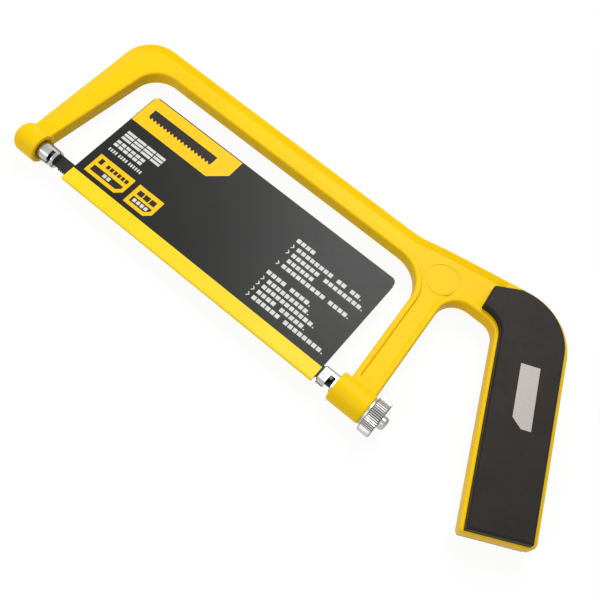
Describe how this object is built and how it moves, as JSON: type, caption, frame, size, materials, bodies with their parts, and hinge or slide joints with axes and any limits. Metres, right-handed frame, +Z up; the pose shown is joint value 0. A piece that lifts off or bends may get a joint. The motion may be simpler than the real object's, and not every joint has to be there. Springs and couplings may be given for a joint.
{
  "type": "hacksaw",
  "caption": "Small pin-end hacksaw with a yellow cast bow frame, black grip scales, knurled tension nut, black blade and a card sleeve over the teeth.",
  "frame": {"origin": "under the middle of the saw's bounding box, at its lowest level, with the saw lying flat on its side", "axes": "+X along the blade from the front boss to the handle, +Y from the teeth to the spine, +Z up, square to the flat of the saw"},
  "size_m": [0.2676, 0.102, 0.0165],
  "materials": {
    "frame_paint": "glossy yellow paint on cast aluminium",
    "grip_plastic": "fine-grained black moulding",
    "label_silver": "satin silver",
    "chrome": "polished plating",
    "pin_steel": "bright steel",
    "washer_steel": "zinc plated",
    "blade_paint": "satin black paint on steel",
    "blade_pin": "blackened steel",
    "printed_card": "coated, printed black and yellow",
    "screw_zinc": "zinc plated"
  },
  "bodies": {
    "frame": {"frame": "frame_paint", "grip_scale_front": "grip_plastic", "grip_scale_back": "grip_plastic", "label_plate": "label_silver", "front_blade_stud": "chrome", "front_stud_pin": "pin_steel", "thrust_washer": "washer_steel", "grip_screw_upper": "screw_zinc", "grip_screw_middle": "screw_zinc", "grip_screw_lower": "screw_zinc"},
    "tension_knob": {"tension_nut": "chrome"},
    "tension_slide": {"tension_rod": "chrome"},
    "blade": {"blade": "blade_paint", "blade_pin_front": "blade_pin", "blade_pin_rear": "blade_pin"},
    "card": {"blade_card": "printed_card"}
  },
  "joints": [
    {"name": "tension_knob_turn", "type": "hinge", "parent": "frame", "child": "tension_knob", "pos_m": [0.05494, -0.03605, 0.00824], "axis": [1, 0, 0], "range_deg": [0, 360]},
    {"name": "tension_rod_slide", "type": "slide", "parent": "frame", "child": "tension_slide", "axis": [-1, 0, 0], "range_m": [0, 0.001]},
    {"name": "blade_release", "type": "slide", "parent": "frame", "child": "blade", "axis": [0, -1, 0], "range_m": [0, 0.015]},
    {"name": "card_pull_off", "type": "slide", "parent": "blade", "child": "card", "axis": [0, -1, 0], "range_m": [0, 0.065]}
  ],
  "couplings": [
    {"joint": "tension_rod_slide", "follows": "tension_knob_turn", "m_per_rad": 0.00015915}
  ]
}
